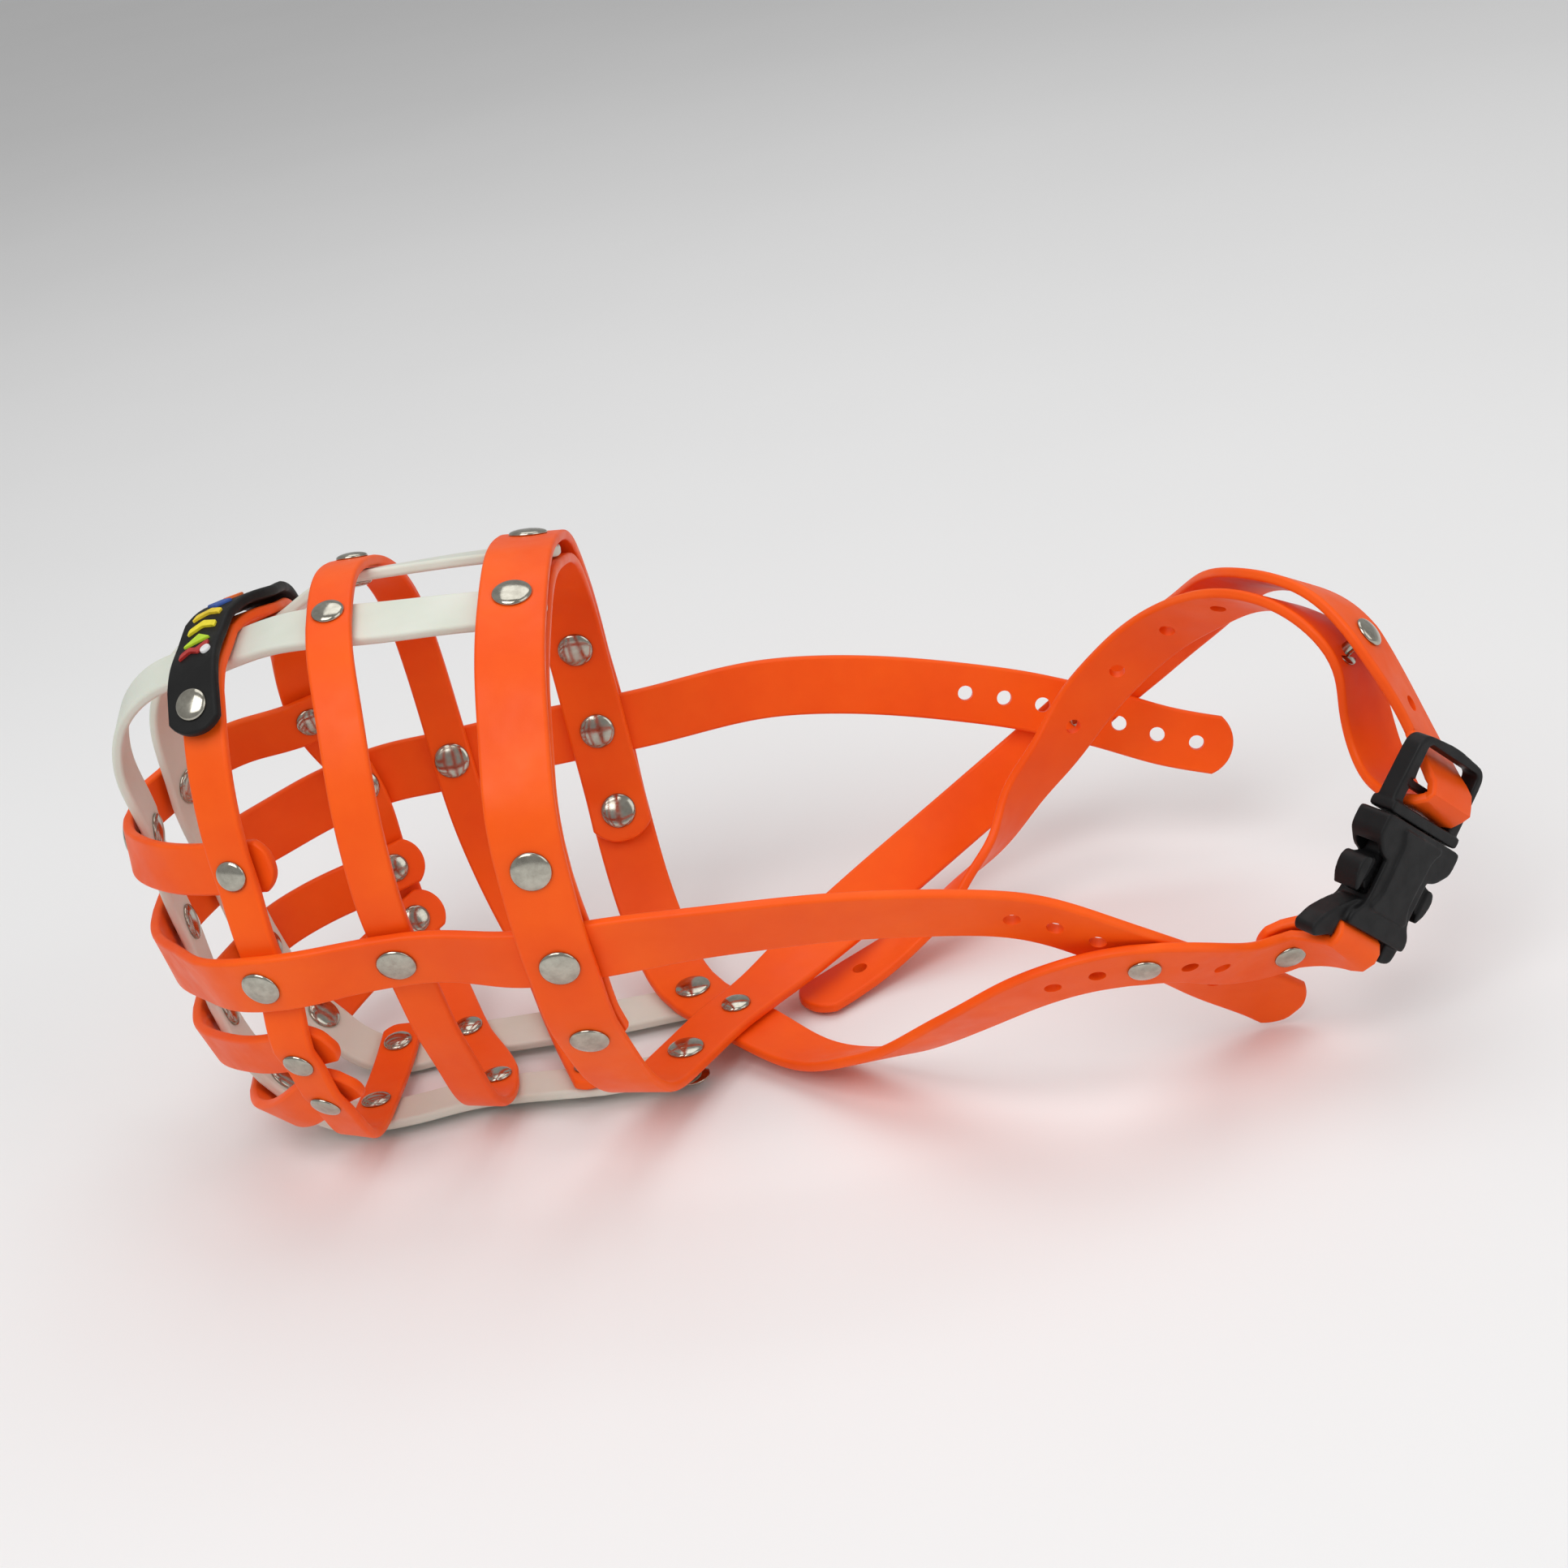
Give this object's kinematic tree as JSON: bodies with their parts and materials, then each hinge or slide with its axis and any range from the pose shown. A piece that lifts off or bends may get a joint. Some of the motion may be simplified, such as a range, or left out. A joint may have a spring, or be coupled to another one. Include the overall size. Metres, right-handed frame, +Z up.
{
  "type": "basket muzzle",
  "caption": "Riveted strap basket muzzle for a dog, with crossed throat straps, an adjustable nape strap and a side-release neck buckle.",
  "frame": {"origin": "middle of the footprint, on the surface the muzzle rests on", "axes": "-X is the nose end, +X the nape, -Y the dog's left side with the buckle, +Z up"},
  "size_m": [0.3072, 0.1347, 0.1362],
  "materials": {
    "orange_strap": "soft matt coated webbing",
    "white_strap": "soft matt coated webbing",
    "nickel": "polished nickel plate",
    "black_plastic": "fine grained moulded plastic",
    "black_rubber": "matt moulded rubber"
  },
  "bodies": {
    "muzzle": {"collar_strap": "orange_strap", "tail_strap": "orange_strap", "collar_liner": "orange_strap", "cheek_strap": "orange_strap", "hoop_strap": "orange_strap", "nose_band_upper": "orange_strap", "nose_band_lower": "orange_strap", "chin_band": "orange_strap", "white_strap_left": "white_strap", "white_strap_right": "white_strap", "badge_patch": "black_rubber", "buckle_socket": "black_plastic", "rivet_collar_top_left": "nickel", "rivet_collar_side_left": "nickel", "rivet_collar_cheek_left": "nickel", "rivet_collar_low_left": "nickel", "rivet_collar_under_left": "nickel", "rivet_second_top_left": "nickel", "rivet_second_cheek_left": "nickel", "rivet_patch_left": "nickel", "rivet_cheek_hoop_left": "nickel", "rivet_upper_hoop_left": "nickel", "rivet_lower_hoop_left": "nickel", "rivet_chin_hoop_left": "nickel", "rivet_upper_nose_left": "nickel", "rivet_cheek_nose_left": "nickel", "rivet_lower_nose_left": "nickel", "rivet_chin_nose_left": "nickel", "rivet_hoop_under_left": "nickel", "rivet_second_under_left": "nickel", "rivet_end_under_left": "nickel", "rivet_collar_top_right": "nickel", "rivet_collar_side_right": "nickel", "rivet_collar_cheek_right": "nickel", "rivet_collar_low_right": "nickel", "rivet_collar_under_right": "nickel", "rivet_second_top_right": "nickel", "rivet_second_cheek_right": "nickel", "rivet_patch_right": "nickel", "rivet_cheek_hoop_right": "nickel", "rivet_upper_hoop_right": "nickel", "rivet_lower_hoop_right": "nickel", "rivet_chin_hoop_right": "nickel", "rivet_upper_nose_right": "nickel", "rivet_cheek_nose_right": "nickel", "rivet_lower_nose_right": "nickel", "rivet_chin_nose_right": "nickel", "rivet_hoop_under_right": "nickel", "rivet_second_under_right": "nickel", "rivet_end_under_right": "nickel", "rivet_throat": "nickel", "screw_adjust_left": "nickel", "screw_adjust_right": "nickel", "screw_socket_loop": "nickel"},
    "plug": {"buckle_plug": "black_plastic", "arch_strap": "orange_strap", "screw_plug_loop": "nickel"},
    "prong_left": {"prong_left": "black_plastic"},
    "prong_right": {"prong_right": "black_plastic"}
  },
  "joints": [
    {"name": "buckle_pull", "type": "slide", "parent": "muzzle", "child": "plug", "axis": [0.5867, 0.3935, 0.7078], "range_m": [0, 0.022]},
    {"name": "prong_left_squeeze", "type": "hinge", "parent": "plug", "child": "prong_left", "pos_m": [0.13922, -0.03516, 0.04121], "axis": [-0.5692, 0.8221, 0.0148], "range_deg": [0, 8], "stiffness_Nm_per_rad": 0.02},
    {"name": "prong_right_squeeze", "type": "hinge", "parent": "plug", "child": "prong_right", "pos_m": [0.13069, -0.04125, 0.05166], "axis": [0.5692, -0.8221, -0.0148], "range_deg": [0, 8], "stiffness_Nm_per_rad": 0.02}
  ]
}
